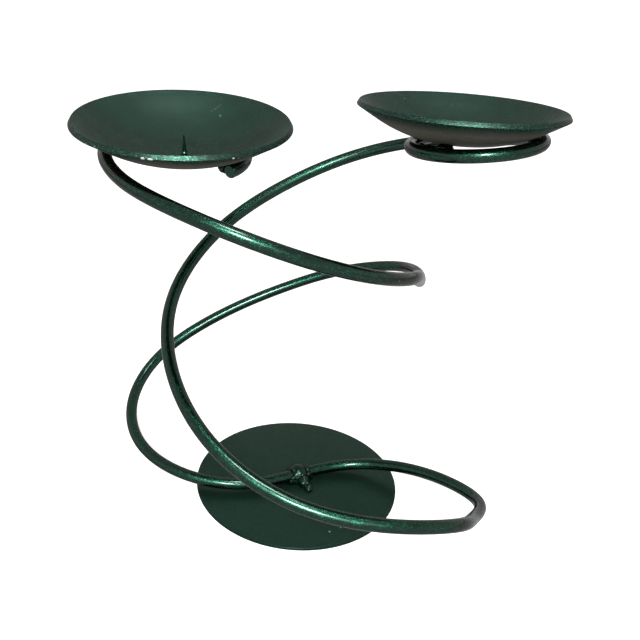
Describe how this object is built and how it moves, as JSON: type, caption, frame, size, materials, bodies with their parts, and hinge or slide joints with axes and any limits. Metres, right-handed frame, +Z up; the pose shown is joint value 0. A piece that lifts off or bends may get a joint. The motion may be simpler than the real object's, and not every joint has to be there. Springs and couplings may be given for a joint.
{
  "type": "two-dish candle holder",
  "caption": "Painted steel candle holder: two bent rods swirl up from a flat round base, each ending in a ring under a shallow spiked dish.",
  "frame": {"origin": "centre of the base plate's underside, on the surface that the holder stands on", "axes": "+Z up; +X from the lower, left dish towards the higher, right one; +Y to the back, away from the viewer of the picture"},
  "size_m": [0.2099, 0.1982, 0.2053],
  "materials": {
    "rod_paint": "dark green metallic paint, broken speckled gloss",
    "base_paint": "dark green paint, satin",
    "dish_paint": "grey-green metallic paint, satin inside and brownish below",
    "spike_paint": "dark green paint over a pointed pin",
    "weld_paint": "thick glossy green paint over lumpy weld"
  },
  "bodies": {
    "root": {"base_plate": "base_paint", "left_arm": "rod_paint", "right_arm": "rod_paint", "centre_weld": "weld_paint", "left_dish": "dish_paint", "right_dish": "dish_paint", "left_spike": "spike_paint", "right_spike": "spike_paint", "left_tack_1": "weld_paint", "left_tack_2": "weld_paint", "left_tack_3": "weld_paint", "right_tack_1": "weld_paint", "right_tack_2": "weld_paint", "right_tack_3": "weld_paint"}
  },
  "joints": []
}
